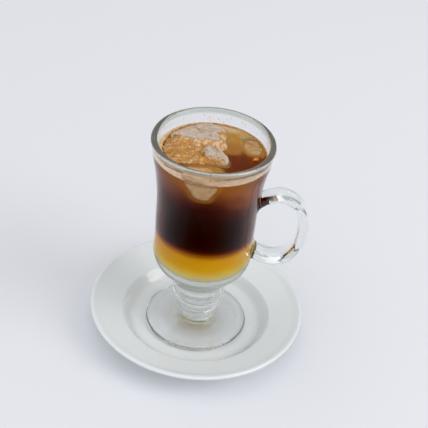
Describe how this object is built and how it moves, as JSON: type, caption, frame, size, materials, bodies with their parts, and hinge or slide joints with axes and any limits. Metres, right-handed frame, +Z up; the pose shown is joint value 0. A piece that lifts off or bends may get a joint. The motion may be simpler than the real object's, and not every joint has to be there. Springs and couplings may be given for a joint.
{
  "type": "iced coffee and orange drink in a footed glass mug on a saucer",
  "caption": "Footed clear glass mug with a handle, on a white saucer, filled with dark cold coffee layered over orange juice, with ice and froth on top.",
  "frame": {"origin": "on the axis of the glass, on the surface that the saucer stands on", "axes": "+Z up along the axis of the glass, +X towards the handle"},
  "size_m": [0.142, 0.142, 0.15],
  "materials": {
    "porcelain": "glossy white glaze",
    "clear_glass": "clear pressed glass, fire polished",
    "orange_juice": "cloudy liquid",
    "cold_brew": "dark clear liquid",
    "ice": "wet cloudy ice stained by coffee"
  },
  "bodies": {
    "root": {"saucer": "porcelain", "glass": "clear_glass", "orange_juice": "orange_juice", "cold_brew": "cold_brew", "ice_back_slab": "ice", "ice_centre_shard": "ice", "ice_right_cube": "ice", "ice_front_lump": "ice"}
  },
  "joints": []
}
